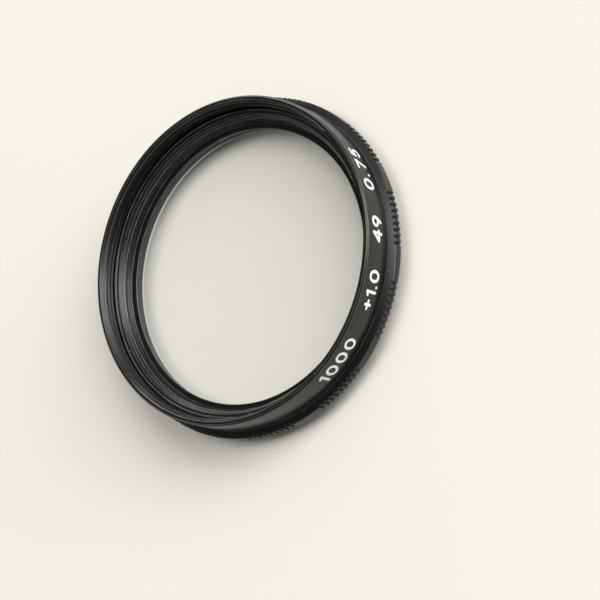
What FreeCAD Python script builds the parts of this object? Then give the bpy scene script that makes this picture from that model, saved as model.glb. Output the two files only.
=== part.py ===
# Close-up filter: a screw-in ring that holds one weak magnifying lens in front of a camera lens.
# It lies on the rim of its rear thread with its front thread upwards. Millimetres.
# The origin is the centre of that rim, and +Z is the optical axis, pointing out of the front.

import FreeCAD
import Part
import math
import os

# Screw thread M49 x 0.75, female in front and male behind.
# The male thread is drawn at its crests and the female one at its crests too.
thread_radius = 24.5
thread_depth = 0.4

# Outside of the ring: band for the engraving, sloping shoulder, knurled land, male thread
band_wall = 1.0
band_length = 5.0
rim_chamfer = 0.28
shoulder_step = 1.1
shoulder_length = 0.58
land_length = 1.47
rear_thread_length = 2.55
rear_thread_chamfer = 0.3

# Knurl: groups of flutes milled across the land and out into the shoulder
knurl_groups = 12
flutes_per_group = 9
flute_places = 168
flute_depth = 0.31
flute_width = 0.58
flute_floor = 0.44

# Inside of the ring, from the mouth down to the seat of the lens and the rear opening
mouth_flare = 0.33
mouth_length = 1.08
front_thread_length = 1.3
relief_length = 1.0
retainer_step = 0.45
ledge_width = 0.35
seat_width = 0.5
seat_thickness = 0.4
rear_recess = 0.95
rear_wall = 0.7

# Lens: flat behind and slightly domed in front, inside a narrow flat land
lens_edge = 1.6
lens_curve_radius = 517.0
lens_land = 1.75
lens_clearance = 0.05

# Retaining ring: it screws down until its nose presses on the lens, just clear of the ledge.
# Its head passes the front thread and sits in the relief groove.
retainer_clearance = 0.05
head_thickness = 0.7
head_clearance = 0.1
head_passage = 0.15
nose_length = 0.55
nose_clearance = 0.1
ledge_clearance = 0.1
lip_flare = 0.35

# Bore of the retaining ring from its front down, turned in steps against stray light.
# Each pair is one flat, wall or bevel: how far it runs inwards and how far down.
retainer_steps = [
    (0.12, 0),
    (0.2, 0.2),
    (0.33, 0),
    (0.34, 0.45),
    (0, 0.15),
    (0.28, 0.28),
    (0, 0.47),
    (0.4, 0.85),
    (0.83, 0.05),
]

# Radii
crest_radius = thread_radius - thread_depth
band_radius = thread_radius + band_wall
land_radius = band_radius + shoulder_step
mouth_radius = thread_radius + mouth_flare
retainer_bore_radius = crest_radius - retainer_step
lens_bore_radius = retainer_bore_radius - ledge_width
seat_radius = lens_bore_radius - seat_width
rear_bore_radius = crest_radius - rear_wall
lens_radius = lens_bore_radius - lens_clearance
retainer_radius = retainer_bore_radius - retainer_clearance
head_radius = crest_radius - head_passage
nose_radius = lens_bore_radius - nose_clearance

# Heights above the rear rim
land_bottom = rear_thread_length
land_top = land_bottom + land_length
band_bottom = land_top + shoulder_length
band_top = band_bottom + band_length
front = band_top + rim_chamfer
seat_top = rear_recess + seat_thickness
lens_front = seat_top + lens_edge
nose_top = lens_front + nose_length
ledge_height = nose_top - ledge_clearance
mouth_bottom = front - mouth_length
front_thread_bottom = mouth_bottom - front_thread_length
relief_bottom = front_thread_bottom - relief_length
head_bottom = relief_bottom + head_clearance
retainer_front = head_bottom + head_thickness


def turned(outline):
    """Solid of revolution about Z from a closed outline of edges in the XZ plane."""
    face = Part.Face(Part.Wire(outline))
    return face.revolve(FreeCAD.Vector(0, 0, 0), FreeCAD.Vector(0, 0, 1), 360)


def straight_edges(points):
    """Edges that join (radius, height) points one after another."""
    corners = [FreeCAD.Vector(radius, 0, height) for radius, height in points]
    return [Part.LineSegment(a, b).toShape() for a, b in zip(corners, corners[1:])]


def closed_outline(points):
    return straight_edges(points + points[:1])


def ring_blank():
    """The turned ring before knurling, outlined up the outside and down the inside."""
    outside = [
        (thread_radius - rear_thread_chamfer, 0),
        (thread_radius, rear_thread_chamfer),
        (thread_radius, land_bottom),
        (land_radius, land_bottom),
        (land_radius, land_top),
        (band_radius, band_bottom),
        (band_radius, band_top),
        (band_radius - rim_chamfer, front),
    ]
    inside = [
        (mouth_radius, front),
        (crest_radius, mouth_bottom),
        (crest_radius, front_thread_bottom),
        (thread_radius, front_thread_bottom),
        (thread_radius, relief_bottom),
        (retainer_bore_radius, relief_bottom),
        (retainer_bore_radius, ledge_height),
        (lens_bore_radius, ledge_height),
        (lens_bore_radius, seat_top),
        (seat_radius, seat_top),
        (seat_radius, rear_recess),
        (rear_bore_radius, rear_recess - (rear_bore_radius - seat_radius)),
        (rear_bore_radius, 0),
    ]
    return turned(closed_outline(outside + inside))


def flute_cutters():
    """One bar for each flute, standing parallel to the axis and reaching in from outside the land."""
    group_angle = 360 / knurl_groups
    flute_angle = 360 / flute_places
    half_width = flute_width / 2
    half_floor = flute_floor / 2
    floor_radius = land_radius - flute_depth
    outer_radius = land_radius + flute_depth
    section = Part.makePolygon([
        FreeCAD.Vector(floor_radius, -half_floor, 0),
        FreeCAD.Vector(floor_radius, half_floor, 0),
        FreeCAD.Vector(land_radius, half_width, 0),
        FreeCAD.Vector(outer_radius, half_width, 0),
        FreeCAD.Vector(outer_radius, -half_width, 0),
        FreeCAD.Vector(land_radius, -half_width, 0),
        FreeCAD.Vector(floor_radius, -half_floor, 0),
    ])
    bar = Part.Face(section).extrude(FreeCAD.Vector(0, 0, band_bottom))
    cutters = []
    for group in range(knurl_groups):
        for flute in range(flutes_per_group):
            offset = flute - (flutes_per_group - 1) / 2
            angle = group * group_angle + offset * flute_angle
            cutters.append(bar.rotated(FreeCAD.Vector(0, 0, 0), FreeCAD.Vector(0, 0, 1), angle))
    return cutters


def filter_ring():
    return ring_blank().cut(flute_cutters())


def lens_element():
    """Plano-convex lens. Its dome ends at a narrow flat land that the retaining ring presses on."""
    disc = turned(closed_outline([
        (0, seat_top),
        (lens_radius, seat_top),
        (lens_radius, lens_front),
        (0, lens_front),
    ]))
    dome_radius = lens_radius - lens_land
    sphere_depth = math.sqrt(lens_curve_radius ** 2 - dome_radius ** 2)
    # The poles of the sphere lie to the sides, so that the dome is a patch of its equator.
    sphere = Part.makeSphere(lens_curve_radius)
    sphere.rotate(FreeCAD.Vector(0, 0, 0), FreeCAD.Vector(1, 0, 0), 90)
    sphere.translate(FreeCAD.Vector(0, 0, lens_front - sphere_depth))
    column = Part.makeCylinder(dome_radius, lens_edge, FreeCAD.Vector(0, 0, lens_front))
    return disc.fuse(column.common(sphere)).removeSplitter()


def retaining_ring():
    """Threaded ring with a wider head, a stepped bore and a nose that reaches down to the lens."""
    radius = head_radius
    height = retainer_front
    bore = []
    for inwards, down in retainer_steps:
        radius -= inwards
        height -= down
        bore.append((radius, height))
    outside = [
        (nose_radius, lens_front),
        (nose_radius, nose_top),
        (retainer_radius, nose_top),
        (retainer_radius, head_bottom),
        (head_radius, head_bottom),
        (head_radius, retainer_front),
    ]
    return turned(closed_outline(outside + bore + [(radius + lip_flare, lens_front)]))


nodes = {
    "filter_ring": filter_ring,
    "lens_element": lens_element,
    "retaining_ring": retaining_ring,
}

os.makedirs("parts", exist_ok=True)
for name, build in nodes.items():
    solid = build()
    solid.exportStep("parts/" + name + ".step")
    print(name, "volume", round(solid.Volume, 1), "mm3, solids", len(solid.Solids), "valid", solid.isValid())
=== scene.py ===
# %% [markdown]
# # Close-up filter: shapes and finishes
#
# A close-up filter is a weak magnifying lens in a thin black ring that screws onto the front of a
# camera lens. The imported CAD model is the frame of this lesson. Its three solids keep their places,
# and each gets a stand-in that adds what a small solid model leaves out: broken edges, cut threads,
# crisp flutes and an engraving. Every finish is made of shader nodes, with no pictures.

# %% The frame
import math

import bmesh
import bpy
from mathutils import Matrix, Vector


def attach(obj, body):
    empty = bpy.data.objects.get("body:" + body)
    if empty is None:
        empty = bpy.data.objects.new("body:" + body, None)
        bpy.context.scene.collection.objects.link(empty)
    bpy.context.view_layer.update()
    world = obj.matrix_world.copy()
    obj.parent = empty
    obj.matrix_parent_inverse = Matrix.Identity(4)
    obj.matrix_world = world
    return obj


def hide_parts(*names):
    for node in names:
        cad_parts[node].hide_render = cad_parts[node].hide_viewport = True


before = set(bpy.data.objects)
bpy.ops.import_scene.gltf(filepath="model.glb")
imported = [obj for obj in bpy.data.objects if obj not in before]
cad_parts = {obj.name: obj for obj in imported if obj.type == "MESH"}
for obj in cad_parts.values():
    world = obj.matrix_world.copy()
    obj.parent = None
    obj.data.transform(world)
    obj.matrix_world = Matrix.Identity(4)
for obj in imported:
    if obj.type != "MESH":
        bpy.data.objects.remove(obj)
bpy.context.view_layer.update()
MM = 0.001
print("CAD nodes:", sorted(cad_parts))

# %% [markdown]
# ## Sizes
#
# A stand-in has to lie exactly where its solid is, so these sizes repeat the model's. They are in
# millimetres and become metres in the last step of each mesh. Heights count from the rear rim, on
# which the filter lies, and Z is the optical axis.

# %% Sizes of the ring, its threads and the seat of the lens
BAND, LAND = 25.5, 26.6
LAND_BOTTOM, LAND_TOP = 2.55, 4.02
BAND_BOTTOM, BAND_TOP, FRONT = 4.6, 9.6, 9.88
PITCH = 0.75
MAJOR, MINOR, ROOT = 24.5, 24.1, 24.04
MOUTH, MOUTH_BOTTOM = 24.83, 8.8
THREAD_BOTTOM, RELIEF_BOTTOM = 7.5, 6.5
RETAINER_BORE, LENS_BORE, SEAT_BORE, REAR_BORE = 23.65, 23.3, 22.8, 23.4
RECESS_TOP, SEAT_TOP, LENS_FRONT, LEDGE = 0.95, 1.35, 2.95, 3.4
print("ring:", 2 * LAND, "mm across the knurl,", FRONT, "mm high")

# %% [markdown]
# ## Turned pieces
#
# The ring and the retaining ring are turned on a lathe, so the same is done here: half a section
# is drawn as an outline and spun about Z. A cylinder with loop cuts would give the same shape, but
# the outline is quicker to change. On the real piece each corner is broken by a fine cut, and the
# outer ones lose their black first. So the helper rounds the corners and marks the outer ones for a
# pale colour that is partly that rubbing and partly a painted highlight on the round.

# %% Outline with rounded corners
def rounded(points, fillet=0.05, segments=2):
    """The closed outline with an arc at each corner, as (radius, height, mark) rows. The mark is 1
    inside the arc of each outer corner, for a pale colour that is partly rubbing and partly painted
    highlight.

    The points run so that the metal lies on their left. An arc takes less than half of each side
    that it joins, so that the arcs of two corners never meet.
    """
    share = 0.4
    rows = []
    count = len(points)
    for i, point in enumerate(points):
        here = Vector(point)
        before = Vector(points[i - 1]) - here
        after = Vector(points[(i + 1) % count]) - here
        size = min(fillet, share * before.length, share * after.length)
        start = here + before.normalized() * size
        end = here + after.normalized() * size
        outer = before.x * after.y - before.y * after.x < 0
        for k in range(segments + 1):
            t = k / segments
            p = (1 - t) ** 2 * start + 2 * t * (1 - t) * here + t ** 2 * end
            rows.append((p.x, p.y, 1.0 if outer and 0 < k < segments else 0.0))
    return rows


# %% Spinning an outline
def spun(rows, steps=360, start=0.0, turn=math.tau):
    """A mesh of the closed outline, spun about Z. Each point carries its row's mark for the pale
    corners, part rubbing and part painted highlight.
    """
    bm = bmesh.new()
    wear_and_glint = bm.verts.layers.float.new("wear_and_glint")
    ring = []
    for radius, height, worn_and_glint in rows:
        vert = bm.verts.new((radius * math.cos(start), radius * math.sin(start), height))
        vert[wear_and_glint] = worn_and_glint
        ring.append(vert)
    edges = [bm.edges.new(pair) for pair in zip(ring, ring[1:] + ring[:1])]
    bmesh.ops.spin(bm, geom=ring + edges, cent=(0, 0, 0), axis=(0, 0, 1), dvec=(0, 0, 0),
                   angle=turn, steps=steps, use_merge=turn == math.tau)
    return bm


# %% Closing a mesh into a finished piece
def finished(name, bm, materials, sharp=25):
    """An object in metres, smooth apart from edges that are sharper than the angle."""
    bmesh.ops.recalc_face_normals(bm, faces=bm.faces)
    bmesh.ops.scale(bm, vec=(MM, MM, MM), verts=bm.verts)
    mesh = bpy.data.meshes.new(name)
    bm.to_mesh(mesh)
    bm.free()
    mesh.shade_smooth()
    mesh.set_sharp_from_angle(angle=math.radians(sharp))
    piece = bpy.data.objects.new(name, mesh)
    bpy.context.scene.collection.objects.link(piece)
    for material in materials:
        mesh.materials.append(material)
    print(f"{name}: {len(mesh.polygons)} faces")
    return piece


# %% [markdown]
# ## Materials
#
# A material is a small graph of nodes that ends in the Principled shader. One helper adds a node,
# gives it its settings and joins it to the nodes before it. Colours are written as a painter
# picks them, in sRGB, and turned to the linear values that the shader works with. All patterns read
# Object coordinates, which stay with the piece and are in metres, so a scale of 5 / MM gives
# five grains to the millimetre.

# %% Helpers for nodes and colours
def linear(code, shade=1.0):
    """An sRGB hex colour as linear RGBA, made lighter or darker by the shade."""
    parts = [int(code[i:i + 2], 16) / 255 for i in (1, 3, 5)]
    parts = [c / 12.92 if c <= 0.04045 else ((c + 0.055) / 1.055) ** 2.4 for c in parts]
    return (*[shade * c for c in parts], 1)


def add(tree, kind, values, out=0, **settings):
    """Adds one node and returns its output. A value is a number, a colour or another output."""
    node = tree.nodes.new("ShaderNode" + kind)
    for key, value in settings.items():
        setattr(node, key, value)
    for key, value in values.items():
        if isinstance(value, bpy.types.NodeSocket):
            tree.links.new(value, node.inputs[key])
        else:
            node.inputs[key].default_value = value
    return node.outputs[out] if len(node.outputs) else None


def blank(name):
    """A new material without nodes."""
    material = bpy.data.materials.new(name)
    material.use_nodes = True
    material.node_tree.nodes.clear()
    return material


# %% [markdown]
# ### Black anodised aluminium
#
# Both rings are aluminium, turned and then anodised: an acid bath grows a hard oxide skin that
# takes a black dye. The eye gets a deep black with a silky shine that breaks up along the turning
# marks. The outer corners are made pale, partly for dye rubbed off by handling and partly as a
# painted highlight for the bright line that light draws on each round corner. The marks are a noise
# that changes along the radius and the height, and hardly at all round the axis, so they run
# round the piece as a lathe leaves them. Real marks are a few hundredths of a millimetre apart.
# These are 0.2 mm apart, because finer ones would not show. The bore of the retaining ring is
# also turned in fine ribs, which break up stray light. A sine along the section raises them, and
# it is drawn coarser than real too, at 0.4 mm. The notches of the knurl are duller, and their colour
# is darkened by their depth as painted shade, for the shadow in them. Dust lies here and there.

# %% Black anodised finish
RIB_PITCH = 0.4


def anodised(name, roughness, specular, wear_and_glint_colour, wear_and_glint_share, ribs=0.0):
    """Anodised aluminium. The ribs say how far the anti-glare ribs stand above the marks."""
    material = blank(name)
    tree = material.node_tree
    place = add(tree, "TexCoord", {}, out="Object")
    x, y, z = add(tree, "SeparateXYZ", {0: place}).node.outputs
    flat = add(tree, "CombineXYZ", {0: x, 1: y})
    radius = add(tree, "VectorMath", {0: flat}, out="Value", operation="LENGTH")
    angle = add(tree, "Math", {0: y, 1: x}, operation="ARCTAN2")
    slowly = add(tree, "Math", {0: angle, 1: 0.04 * MM}, operation="MULTIPLY")
    round_axis = add(tree, "CombineXYZ", {0: radius, 1: slowly, 2: z})
    marks = add(tree, "TexNoise", {"Vector": round_axis, "Scale": 5 / MM, "Detail": 1.5})
    cloud = add(tree, "TexNoise", {"Vector": place, "Scale": 0.35 / MM, "Detail": 3.0})
    grain = add(tree, "TexNoise", {"Vector": place, "Scale": 14 / MM, "Detail": 2.0})

    # Base colour: black that varies a little, painted shade in the notches, pale outer corners that
    # are partly rubbed and partly painted highlight, and specks of dust
    base = add(tree, "MapRange", {"Value": cloud, "From Min": 0.35, "From Max": 0.65})
    base = add(tree, "Mix", {0: base, 6: linear("#0c0c0c", 0.85), 7: linear("#0c0c0c", 1.2)},
               out=2, data_type="RGBA")
    groove = add(tree, "Attribute", {}, out="Fac", attribute_name="groove")
    # Painted shade: the notches are darkened towards #050505 by their depth.
    base = add(tree, "Mix", {0: groove, 6: base, 7: linear("#050505")}, out=2, data_type="RGBA")
    # Painted highlight and rubbing: the marked outer corners are paled towards the given colour.
    worn_and_glint = add(tree, "Attribute", {}, out="Fac", attribute_name="wear_and_glint")
    rubbed_and_glint = add(tree, "MapRange", {"Value": cloud, "From Min": 0.3, "From Max": 0.6,
                                    "To Min": 0.4 * wear_and_glint_share, "To Max": wear_and_glint_share})
    rubbed_and_glint = add(tree, "Math", {0: worn_and_glint, 1: rubbed_and_glint}, operation="MULTIPLY")
    base = add(tree, "Mix", {0: rubbed_and_glint, 6: base, 7: linear(wear_and_glint_colour)}, out=2, data_type="RGBA")
    cells = add(tree, "TexVoronoi", {"Vector": place, "Scale": 1.1 / MM})
    speck = add(tree, "MapRange", {"Value": cells, "From Min": 0.09, "From Max": 0.06,
                                   "To Max": 0.8})
    cell_value = add(tree, "SeparateXYZ", {0: cells.node.outputs["Color"]})
    chosen = add(tree, "Math", {0: cell_value, 1: 0.93}, operation="GREATER_THAN")
    dust = add(tree, "Math", {0: speck, 1: chosen}, operation="MULTIPLY")
    base = add(tree, "Mix", {0: dust, 6: base, 7: linear("#a19e98")}, out=2, data_type="RGBA")

    # Roughness and bump: the turning marks, and a dull floor in each notch
    gloss = add(tree, "MapRange", {"Value": marks, "From Min": 0.3, "From Max": 0.7,
                                   "To Min": roughness - 0.03, "To Max": roughness + 0.03})
    gloss = add(tree, "Math", {0: groove, 1: 0.3, 2: gloss}, operation="MULTIPLY_ADD")
    height = add(tree, "Mix", {0: 0.4, 2: marks, 3: grain}, data_type="FLOAT")
    along = add(tree, "Math", {0: radius, 1: z}, operation="ADD")
    along = add(tree, "Math", {0: along, 1: math.tau / (RIB_PITCH * MM)}, operation="MULTIPLY")
    rib = add(tree, "Math", {0: along}, operation="SINE")
    height = add(tree, "Math", {0: rib, 1: ribs, 2: height}, operation="MULTIPLY_ADD")
    normal = add(tree, "Bump", {"Strength": 0.15, "Distance": 0.01 * MM, "Height": height})
    shader = add(tree, "BsdfPrincipled", {"Base Color": base, "Roughness": gloss, "Normal": normal,
                                          "Specular IOR Level": specular})
    add(tree, "OutputMaterial", {"Surface": shader})
    print(f"{name}: {len(tree.nodes)} nodes")
    return material


# The pale corner colour stands partly for rubbed dye and partly for a painted highlight on the corner
# round.
RING_BLACK = anodised("ring_black_anodised", 0.29, 0.44, "#8b867e", 0.75)
RETAINER_BLACK = anodised("retainer_black_anodised", 0.27, 0.46, "#8b8883", 0.85, ribs=13.0)

# %% [markdown]
# ### Crown glass
#
# The lens is ground and polished crown glass, clear and colourless, with an index of 1.52. Only
# its faint reflections and a little haze from handling tell the eye that it is there. The edge
# and the narrow land under the retaining ring are left as ground, so they scatter light and look
# frosted. Ground glass has a grain of some 0.02 mm. It is drawn four times as coarse to show.

# %% Polished glass and its ground margin
def polished_glass():
    material = blank("lens_crown_glass")
    tree = material.node_tree
    place = add(tree, "TexCoord", {}, out="Object")
    haze = add(tree, "TexNoise", {"Vector": place, "Scale": 2.2 / MM, "Detail": 6.0})
    haze = add(tree, "MapRange", {"Value": haze, "From Min": 0.62, "From Max": 0.8, "To Max": 0.06})
    shader = add(tree, "BsdfPrincipled", {"Base Color": linear("#fcfefd"), "Roughness": haze,
                                          "IOR": 1.52, "Transmission Weight": 1.0})
    add(tree, "OutputMaterial", {"Surface": shader})
    return material


def ground_glass():
    material = blank("lens_ground_margin")
    tree = material.node_tree
    place = add(tree, "TexCoord", {}, out="Object")
    grain = add(tree, "TexNoise", {"Vector": place, "Scale": 12 / MM, "Detail": 3.0})
    base = add(tree, "Mix", {0: grain, 6: linear("#c9cbc8"), 7: linear("#eff0ee")}, out=2,
               data_type="RGBA")
    gloss = add(tree, "MapRange", {"Value": grain, "From Min": 0.3, "From Max": 0.7,
                                   "To Min": 0.5, "To Max": 0.62})
    normal = add(tree, "Bump", {"Strength": 0.4, "Distance": 0.01 * MM, "Height": grain})
    shader = add(tree, "BsdfPrincipled", {"Base Color": base, "Roughness": gloss,
                                          "Normal": normal, "IOR": 1.52})
    add(tree, "OutputMaterial", {"Surface": shader})
    return material


POLISHED = polished_glass()
GROUND = ground_glass()
print("glass:", POLISHED.name, "and", GROUND.name)

# %% [markdown]
# ### White filling enamel
#
# The engraving is cut into the black and filled with a soft white enamel that is wiped level. It
# dries matt and slightly uneven, and grey dirt settles on it in places.

# %% White enamel
def filling_enamel():
    material = blank("engraving_white_enamel")
    tree = material.node_tree
    place = add(tree, "TexCoord", {}, out="Object")
    grain = add(tree, "TexNoise", {"Vector": place, "Scale": 5 / MM, "Detail": 3.0})
    dirt = add(tree, "TexNoise", {"Vector": place, "Scale": 1.3 / MM, "Detail": 4.0})
    dirt = add(tree, "MapRange", {"Value": dirt, "From Min": 0.5, "From Max": 0.75, "To Max": 0.5})
    base = add(tree, "Mix", {0: dirt, 6: linear("#f1efe9"), 7: linear("#c9c5bb")}, out=2,
               data_type="RGBA")
    gloss = add(tree, "MapRange", {"Value": grain, "From Min": 0.3, "From Max": 0.7,
                                   "To Min": 0.5, "To Max": 0.65})
    normal = add(tree, "Bump", {"Strength": 0.3, "Distance": 0.01 * MM, "Height": grain})
    shader = add(tree, "BsdfPrincipled", {"Base Color": base, "Roughness": gloss, "Normal": normal})
    add(tree, "OutputMaterial", {"Surface": shader})
    return material


ENAMEL = filling_enamel()
print("enamel:", ENAMEL.name)

# %% [markdown]
# ## Body of the filter ring
#
# One turned piece carries the engraved band outside and, inside, the mouth, the groove behind the
# front thread, the seat of the lens and the rear opening. It is spun from one outline. The knurled
# land is left to a piece of its own, because its notches need many more steps round the axis than
# the rest, and the two meet in a corner where no joint shows.

# %% Ring body
body_outline = [
    (23.9, 0), (ROOT, 0.14), (ROOT, 2.6), (BAND, 2.6), (BAND, BAND_TOP), (25.22, FRONT),
    (MOUTH, FRONT), (MAJOR, 9.392), (MAJOR, RELIEF_BOTTOM), (RETAINER_BORE, RELIEF_BOTTOM),
    (RETAINER_BORE, LEDGE), (LENS_BORE, LEDGE), (LENS_BORE, SEAT_TOP), (SEAT_BORE, SEAT_TOP),
    (SEAT_BORE, RECESS_TOP), (REAR_BORE, 0.35), (REAR_BORE, 0),
]
ring_body = finished("ring_body", spun(rounded(body_outline)), [RING_BLACK])
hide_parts("filter_ring")

# %% [markdown]
# ## Knurled land
#
# Fingers turn the ring by its knurl: twelve groups of nine notches, milled across the land, with
# a bare stretch between the groups. Cutting 108 notches with booleans is slow and leaves ragged
# faces. Here the land is spun with twelve steps to each notch, and every step moves to its place
# on the section of a notch. One group is made that way, and a spin of whole copies makes the rest.

# %% Section of a notch
GROUPS, FLUTES, PLACES = 12, 9, 168
FLUTE_DEPTH = 0.31
STEPS = 12
STEP = math.tau / PLACES / STEPS
SECTOR = math.tau / GROUPS

# Half of a notch and half of the ridge beside it: how far each step lies from the middle of the
# notch, and how deep it is.
notch = [(0.0, FLUTE_DEPTH), (0.09, FLUTE_DEPTH), (0.17, FLUTE_DEPTH), (0.23, 0.27),
         (0.27, 0.05), (0.31, 0.0)]


def notched(angle):
    """The angle and the largest radius that a point of the land moves to."""
    steps = round(angle / STEP)
    flute = round(steps / STEPS)
    side = steps - flute * STEPS
    if abs(steps) >= FLUTES * STEPS // 2 or abs(side) == STEPS // 2:
        return angle, LAND
    across, depth = notch[abs(side)]
    return flute * STEPS * STEP + math.copysign(across / LAND, side), LAND - depth


print("notches:", GROUPS * FLUTES, "of", FLUTE_DEPTH, "mm depth")

# %% One group of notches, and its copies
land_outline = [
    (23.9, LAND_BOTTOM), (26.46, LAND_BOTTOM), (LAND, 2.69), (LAND, LAND_TOP),
    (BAND, BAND_BOTTOM), (25.2, BAND_BOTTOM), (23.9, 4.4),
]
land_rows = rounded(land_outline, fillet=0.06)

# The notches run out on the shoulder, so its slope gets five more rows after the last row of the
# rounded corner.
ROW_GAP = 0.08
slope = (BAND_BOTTOM - LAND_TOP) / (LAND - BAND)
corner = max(i for i, (r, z, _) in enumerate(land_rows) if r > 26.5 and z > LAND_TOP - 0.02)
land_rows[corner + 1:corner + 1] = [(LAND - ROW_GAP * k, LAND_TOP + ROW_GAP * k * slope, 0.0)
                                    for k in range(1, 6)]

land = spun(land_rows, PLACES // GROUPS * STEPS, start=-SECTOR / 2, turn=SECTOR)
# The groove layer holds each point's depth in its notch. The finish darkens the colour by it, as
# painted shade, and makes it duller.
groove = land.verts.layers.float.new("groove")
wear_and_glint = land.verts.layers.float["wear_and_glint"]
for vert in land.verts:
    angle, reach = notched(math.atan2(vert.co.y, vert.co.x))
    radius = vert.co.xy.length
    if radius > reach:
        vert[groove] = (LAND - reach) / FLUTE_DEPTH
        vert[wear_and_glint] *= 0.2
        radius = reach
    vert.co.xy = Vector((math.cos(angle), math.sin(angle))) * radius
bmesh.ops.spin(land, geom=land.verts[:] + land.edges[:] + land.faces[:], cent=(0, 0, 0),
               axis=(0, 0, 1), dvec=(0, 0, 0), angle=math.tau - SECTOR, steps=GROUPS - 1,
               use_duplicate=True)
bmesh.ops.remove_doubles(land, verts=land.verts, dist=0.001)
knurled_land = finished("knurled_land", land, [RING_BLACK])

# %% [markdown]
# ## Threads
#
# The filter screws onto a lens by the thread behind and takes another filter in the thread in
# front, both 49 mm across with 0.75 mm to the turn. A ring of grooves would look the same from
# afar, but a real thread climbs and runs out, so each one is a V-shaped ridge of 60 degrees that
# is spun along its helix. Where the mouth, a groove or a chamfer ends the ridge, its points are
# moved onto that surface, as the cutter leaves them, and faces that this squeezes to nothing go.

# %% Helical ridge
def thread(name, crest, base, low, high, cut, per_turn=180):
    """A ridge from radius base to radius crest that climbs from the low height to the high one.

    The cut takes each point's radius and height and gives back where the cutter leaves it.
    """
    half_flat = 0.06
    slant = abs(crest - base) / math.sqrt(3)
    flank = [(base + (crest - base) * k / 4, half_flat + slant * (1 - k / 4)) for k in range(5)]
    section = [(r, -h) for r, h in flank] + flank[::-1]
    bm = bmesh.new()
    bm.verts.layers.float.new("wear_and_glint")
    face = bm.faces.new([bm.verts.new((r, 0, low + h)) for r, h in section])
    turns = (high - low) / PITCH
    steps = round(turns * per_turn)
    bmesh.ops.spin(bm, geom=[face], cent=(0, 0, 0), axis=(0, 0, 1), angle=math.tau * turns,
                   dvec=(0, 0, (high - low) / steps), steps=steps)
    for vert in bm.verts:
        radius, vert.co.z = cut(vert.co.xy.length, vert.co.z)
        vert.co.xy = vert.co.xy.normalized() * radius
    bmesh.ops.dissolve_degenerate(bm, dist=0.001, edges=bm.edges)
    return finished(name, bm, [RING_BLACK])


# Rear thread: its radius at the rim, where it runs out and how steeply, and where it ends
RIM, RUNOUT_START, RUNOUT_SLOPE, THREAD_TOP = 24.2, 2.15, 2.5, 2.5


def cut_front(radius, height):
    """Keeps the front thread behind the cone of the mouth and in front of the groove."""
    mouth = MOUTH - (FRONT - height) * (MOUTH - MINOR) / (FRONT - MOUTH_BOTTOM)
    return max(radius, min(mouth, MAJOR + 0.04)), max(height, THREAD_BOTTOM)


def cut_rear(radius, height):
    """Chamfers the rear thread at the rim, and lets it run out below the land."""
    height = max(height, 0.0)
    chamfer = RIM + height
    runout = MAJOR - (height - RUNOUT_START) * RUNOUT_SLOPE
    return min(radius, chamfer, max(runout, ROOT - 0.03)), min(height, THREAD_TOP)


front_thread = thread("front_thread", crest=MINOR, base=MAJOR + 0.05, low=7.3, high=9.5,
                      cut=cut_front)
rear_thread = thread("rear_thread", crest=MAJOR, base=ROOT - 0.04, low=-0.25, high=2.45,
                     cut=cut_rear)

# %% [markdown]
# ## Retaining ring
#
# This ring screws down inside the body and holds the lens. Its bore is turned in steps, which
# keep stray light from glancing into the picture, and these steps are the fine lines that the eye
# sees inside the mouth. It is spun from one outline, like the body.

# %% Retaining ring
retainer_outline = [
    (21.8, LENS_FRONT), (23.2, LENS_FRONT), (23.2, 3.5), (23.6, 3.5), (23.6, 6.6),
    (23.95, 6.6), (23.95, 7.3), (23.83, 7.3), (23.63, 7.1), (23.3, 7.1), (23.3, 7.0),
    (22.96, 6.65), (22.96, 6.5), (22.68, 6.22), (22.68, 5.75), (22.28, 5.05),
    (22.28, 4.88), (21.5, 4.85), (21.44, 4.78),
]
retainer = finished("retainer", spun(rounded(retainer_outline, fillet=0.09)), [RETAINER_BLACK])
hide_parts("retaining_ring")

# %% [markdown]
# ## Lens
#
# The lens is flat behind, and in front it bulges by less than half a millimetre, which is all
# that one dioptre takes. A slice of a huge sphere would need a boolean. It is simpler to spin one
# point about the far centre of that sphere, which draws the curve, and then to spin the whole
# half section about Z. The points on the axis are merged, so that both poles are closed. Glass
# would throw a black shadow in a render that doesn't trace light through it, so the lens throws
# none.

# %% Lens
CURVE, DOME_EDGE, LENS_EDGE, GROUND_FROM = 517.0, 21.5, 23.25, 23.05
drop = CURVE - math.sqrt(CURVE ** 2 - DOME_EDGE ** 2)
glass = bmesh.new()
pole = glass.verts.new((0, 0, LENS_FRONT + drop))
bmesh.ops.spin(glass, geom=[pole], cent=(0, 0, LENS_FRONT + drop - CURVE), axis=(0, 1, 0),
               dvec=(0, 0, 0), angle=math.asin(DOME_EDGE / CURVE), steps=24)
rim = max(glass.verts, key=lambda vert: vert.co.x)
margin = [(23.1, LENS_FRONT), (LENS_EDGE, 2.8), (LENS_EDGE, 1.5), (23.1, SEAT_TOP),
          (22.4, SEAT_TOP), (18, SEAT_TOP), (12, SEAT_TOP), (6, SEAT_TOP), (0, SEAT_TOP)]
for radius, height in margin:
    vert = glass.verts.new((radius, 0, height))
    glass.edges.new((rim, vert))
    rim = vert
bmesh.ops.spin(glass, geom=glass.verts[:] + glass.edges[:], cent=(0, 0, 0), axis=(0, 0, 1),
               dvec=(0, 0, 0), angle=math.tau, steps=240, use_merge=True)
bmesh.ops.remove_doubles(glass, verts=glass.verts, dist=0.001)
for face in glass.faces:
    centre = face.calc_center_median()
    on_land = centre.xy.length > DOME_EDGE and centre.z > 2
    face.material_index = 1 if on_land or centre.xy.length > GROUND_FROM else 0
lens = finished("lens", glass, [POLISHED, GROUND])
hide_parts("lens_element")
lens.visible_shadow = False
lens.visible_diffuse = False
print("dome:", round(drop, 3), "mm high")

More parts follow.
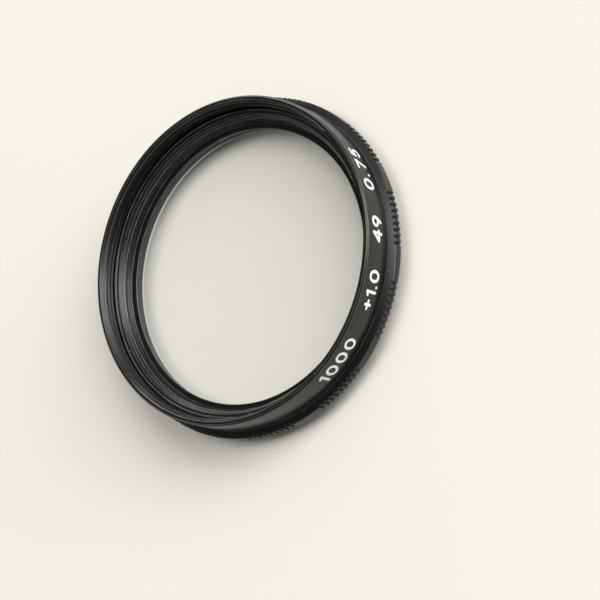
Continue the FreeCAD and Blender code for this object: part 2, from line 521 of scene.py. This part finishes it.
# %% [markdown]
# ## Engraving
#
# The band carries plain numbers: the focal length in millimetres, the power in dioptres, and the
# size and pitch of the thread. An engraving machine draws each figure with a round cutter, stroke
# by stroke. A text object would need a font, so the figures are drawn as the machine draws them:
# a short edge as wide as the cutter is spun ahead for each straight run and round a centre for
# each curve, and a disc rounds each end. Strokes that cross lie at slightly different heights,
# because two faces in one plane flicker in the render.

# %% Figures
# Each figure is its width and its strokes. A stroke is x, y and heading of its start, and its
# moves: (length, 0) goes straight ahead and (radius, degrees) turns, to the left if positive.
OVAL = [(1.376, 30), (0.624, 120), (1.376, 60), (0.624, 120), (1.376, 30)]
FIGURES = {
    "0": (1.45, [(1.45, 1.0, 90, OVAL)]),
    "1": (0.5, [(0.0, 1.68, 32.6, [(0.594, 0)]), (0.5, 2.0, -90, [(2.0, 0)])]),
    "4": (1.55, [(1.15, 2.0, -90, [(2.0, 0)]), (1.15, 2.0, 229.8, [(1.781, 0)]),
                 (0.0, 0.64, 0, [(1.55, 0)])]),
    "5": (1.25, [(1.15, 2.0, 180, [(0.9, 0)]), (0.25, 2.0, 260.7, [(0.93, 0)]),
                 (0.077, 1.11, 47, [(0.66, -267)])]),
    "7": (1.3, [(0.0, 2.0, 0, [(1.3, 0)]), (1.3, 2.0, 247, [(2.173, 0)])]),
    "9": (1.3, [(1.28, 1.36, 90, [(0.64, 360)]), (1.28, 1.36, -90, [(1.6, -35), (0.54, 0)])]),
    "+": (1.3, [(0.075, 1.0, 0, [(1.15, 0)]), (0.65, 0.425, 90, [(1.15, 0)])]),
    ".": (0.06, [(0.03, 0.0, 0, [])]),
}
STROKE = 0.45
print("figures:", " ".join(FIGURES))


# %% Strokes
def thicken(bm, faces, high, low=-0.05):
    """Turns flat faces into a slab from just under the band's surface to the given height."""
    bmesh.ops.translate(bm, verts=list({v for f in faces for v in f.verts}), vec=(0, 0, low))
    made = bmesh.ops.extrude_face_region(bm, geom=faces)["geom"]
    top = [item for item in made if isinstance(item, bmesh.types.BMVert)]
    bmesh.ops.translate(bm, verts=top, vec=(0, 0, high - low))


def stroke(bm, x, y, heading, moves, high):
    """Draws one stroke from a start point, with a disc at each free end."""
    start = here = Vector((x, y, 0))
    turned = Matrix.Rotation(math.radians(heading), 3, "Z")
    known = set(bm.faces)
    side = turned @ Vector((0, STROKE / 2, 0))
    last = [bm.edges.new([bm.verts.new(here + side), bm.verts.new(here - side)])]
    for size, turn in moves:
        left = turned @ Vector((0, math.copysign(size, turn), 0))
        spin = Matrix.Rotation(math.radians(turn), 3, "Z")
        ahead = turned @ Vector((size, 0, 0))
        steps = max(4, round(abs(turn) / 10))
        made = bmesh.ops.spin(bm, geom=last, cent=here + left, axis=(0, 0, 1), steps=steps,
                              angle=math.radians(turn), dvec=(0, 0, 0) if turn else ahead / steps)
        last = [item for item in made["geom_last"] if isinstance(item, bmesh.types.BMEdge)]
        here = here + left - spin @ left if turn else here + ahead
        turned = spin @ turned
    ribbon = [face for face in bm.faces if face not in known]
    if moves and (here - start).length < 0.01:
        bmesh.ops.remove_doubles(bm, verts=list({v for f in ribbon for v in f.verts}), dist=0.01)
        ends = []
    else:
        ends = [start, here] if moves else [start]
    if ribbon:
        thicken(bm, ribbon, high)
    else:
        bmesh.ops.delete(bm, geom=[v for edge in last for v in edge.verts], context="VERTS")
    for point in ends:
        disc = bmesh.ops.create_circle(bm, cap_ends=True, radius=STROKE / 2, segments=20,
                                       matrix=Matrix.Translation(point))
        thicken(bm, [disc["verts"][0].link_faces[0]], high - 0.001)


# %% Numbers on the band
def engraved(name, text, start, end, base=6.3):
    """Spreads the figures between two angles about Z, in degrees, and bends them on the band."""
    widths = sum(FIGURES[char][0] for char in text)
    gap = (math.radians(end - start) * BAND - STROKE - widths) / (len(text) - 1)
    bm = bmesh.new()
    x = STROKE / 2
    count = 0
    for char in text:
        width, strokes = FIGURES[char]
        for across, up, heading, moves in strokes:
            count += 1
            stroke(bm, x + across, up, heading, moves, high=0.011 + 0.002 * (count % 4))
        x += width + gap
    for vert in bm.verts:
        angle = math.radians(start) + vert.co.x / BAND
        radius = BAND + vert.co.z
        vert.co = (radius * math.cos(angle), radius * math.sin(angle), base + vert.co.y)
    return finished(name, bm, [ENAMEL])


numbers = [
    engraved("number_length", "1000", 239.4, 257.5),
    engraved("number_power", "+1.0", 267.6, 281.2),
    engraved("number_thread", "49", 290.5, 299.5),
    engraved("number_pitch", "0.75", 309, 326),
]

# %% [markdown]
# ## Bodies
#
# The filter has no moving parts, so every piece rides on the root body.

# %% Riding pieces
ring_pieces = [ring_body, knurled_land, front_thread, rear_thread] + numbers
for piece in ring_pieces + [retainer, lens]:
    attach(piece, "root")
print("pieces on root:", len(ring_pieces) + 2)

# %% [markdown]
# ## Floor and backdrop
#
# The filter lies on a board with dead matt, warm white paint. Such paint scatters all its light
# and mirrors none, so its shine is off, or the floor would glare in low views. Behind it the
# studio is pale up to some 15 degrees and dim above that, which keeps the black pieces black. The
# dim value also lights the matt surfaces from all sides, whatever the camera and the mirror-like
# reflections see.

# %% Floor of matt paint
def matt_paint():
    material = blank("floor_matt_paint")
    tree = material.node_tree
    shader = add(tree, "BsdfPrincipled", {"Base Color": linear("#ece8df"), "Roughness": 0.9,
                                          "Specular IOR Level": 0.0})
    add(tree, "OutputMaterial", {"Surface": shader})
    return material


FLOOR_HALF, FLOOR_GAP = 3000, 0.03
board = bmesh.new()
bmesh.ops.create_grid(board, x_segments=1, y_segments=1, size=FLOOR_HALF)
bmesh.ops.translate(board, vec=(0, 0, -FLOOR_GAP), verts=board.verts)
floor = finished("floor", board, [matt_paint()])

# %% Studio
world = bpy.data.worlds.new("studio")
world.use_nodes = True
sky = world.node_tree
sky.nodes.clear()
look = add(sky, "TexCoord", {}, out="Generated")
up_part = add(sky, "SeparateXYZ", {0: look}, out="Z")
DIM = 0.15
backdrop = add(sky, "MapRange", {"Value": up_part, "From Min": 0.34, "From Max": 0.16,
                                 "To Min": DIM, "To Max": 1.0})
matt = add(sky, "LightPath", {}, out="Is Diffuse Ray")
strength = add(sky, "Mix", {0: matt, 2: backdrop, 3: DIM}, data_type="FLOAT")
glow = add(sky, "Background", {"Color": linear("#e4e3df"), "Strength": strength})
add(sky, "OutputWorld", {"Surface": glow})
bpy.context.scene.world = world
print("studio:", len(sky.nodes), "nodes")

# %% [markdown]
# ## Lights
#
# Black metal is seen mostly by what it reflects, so the lights are large soft panels, far off,
# each placed where it draws one of the bright lines that the photograph shows: a main panel high
# on the right, one overhead, a weak one behind, and two long low ones that graze the edges. The
# overhead one lights only what is matt. In a reflection it would fill the flat back of the lens
# with white, as seen from straight above.

# %% Light panels
def panel(name, azimuth, elevation, width, height, radiance, mirrored=True, distance=4.0):
    """A rectangular light that faces the origin. Angles are in degrees, lengths in metres."""
    data = bpy.data.lights.new(name, "AREA")
    data.shape = "RECTANGLE"
    data.size = width
    data.size_y = height
    data.energy = radiance * width * height * math.pi
    a, e = math.radians(azimuth), math.radians(elevation)
    away = Vector((math.cos(a) * math.cos(e), math.sin(a) * math.cos(e), math.sin(e)))
    light = bpy.data.objects.new(name, data)
    light.location = away * distance
    light.rotation_mode = "QUATERNION"
    light.rotation_quaternion = away.to_track_quat("Z", "Y")
    light.visible_glossy = mirrored
    bpy.context.scene.collection.objects.link(light)
    print(f"{name}: {data.energy:.0f} W")


panel("key_soft", 318, 38, 2.4, 4.4, 5.3)
panel("top_soft", 0, 88, 2.0, 2.0, 4.6, mirrored=False)
panel("fill_side", 12, 45, 2.4, 2.4, 0.8)
panel("edge_right", 318, 7, 5.0, 0.84, 3.2)
panel("edge_left", 32, 6, 2.6, 0.68, 6.5)

# %% [markdown]
# ## Camera
#
# The camera stands where the photograph was taken from, worked out from the ellipses of the ring's
# rims. Its long lens keeps them nearly parallel. Three directions give its turn: right, up, and
# back along the view.

# %% Camera
camera_data = bpy.data.cameras.new("camera")
camera_data.sensor_width = 36
camera_data.lens = 138
camera_data.clip_start = 0.01
camera_data.clip_end = 20
camera = bpy.data.objects.new("camera", camera_data)
right = Vector((0.3024, -0.7630, -0.5713))
up = Vector((0.9532, 0.2447, 0.1777))
back = right.cross(up)
turn = Matrix((right, up, back)).transposed().to_4x4()
camera.matrix_world = Matrix.Translation(Vector((-1.1, -217.8, 280.8)) * MM) @ turn
bpy.context.scene.collection.objects.link(camera)
bpy.context.scene.camera = camera
bpy.context.scene.view_settings.view_transform = "Standard"
print("camera:", round(camera.matrix_world.translation.length / MM), "mm from the filter's foot")

# %% [markdown]
# ## Last update
#
# The view layer is updated once more, so that every piece is in its place.

# %% Update
bpy.context.view_layer.update()
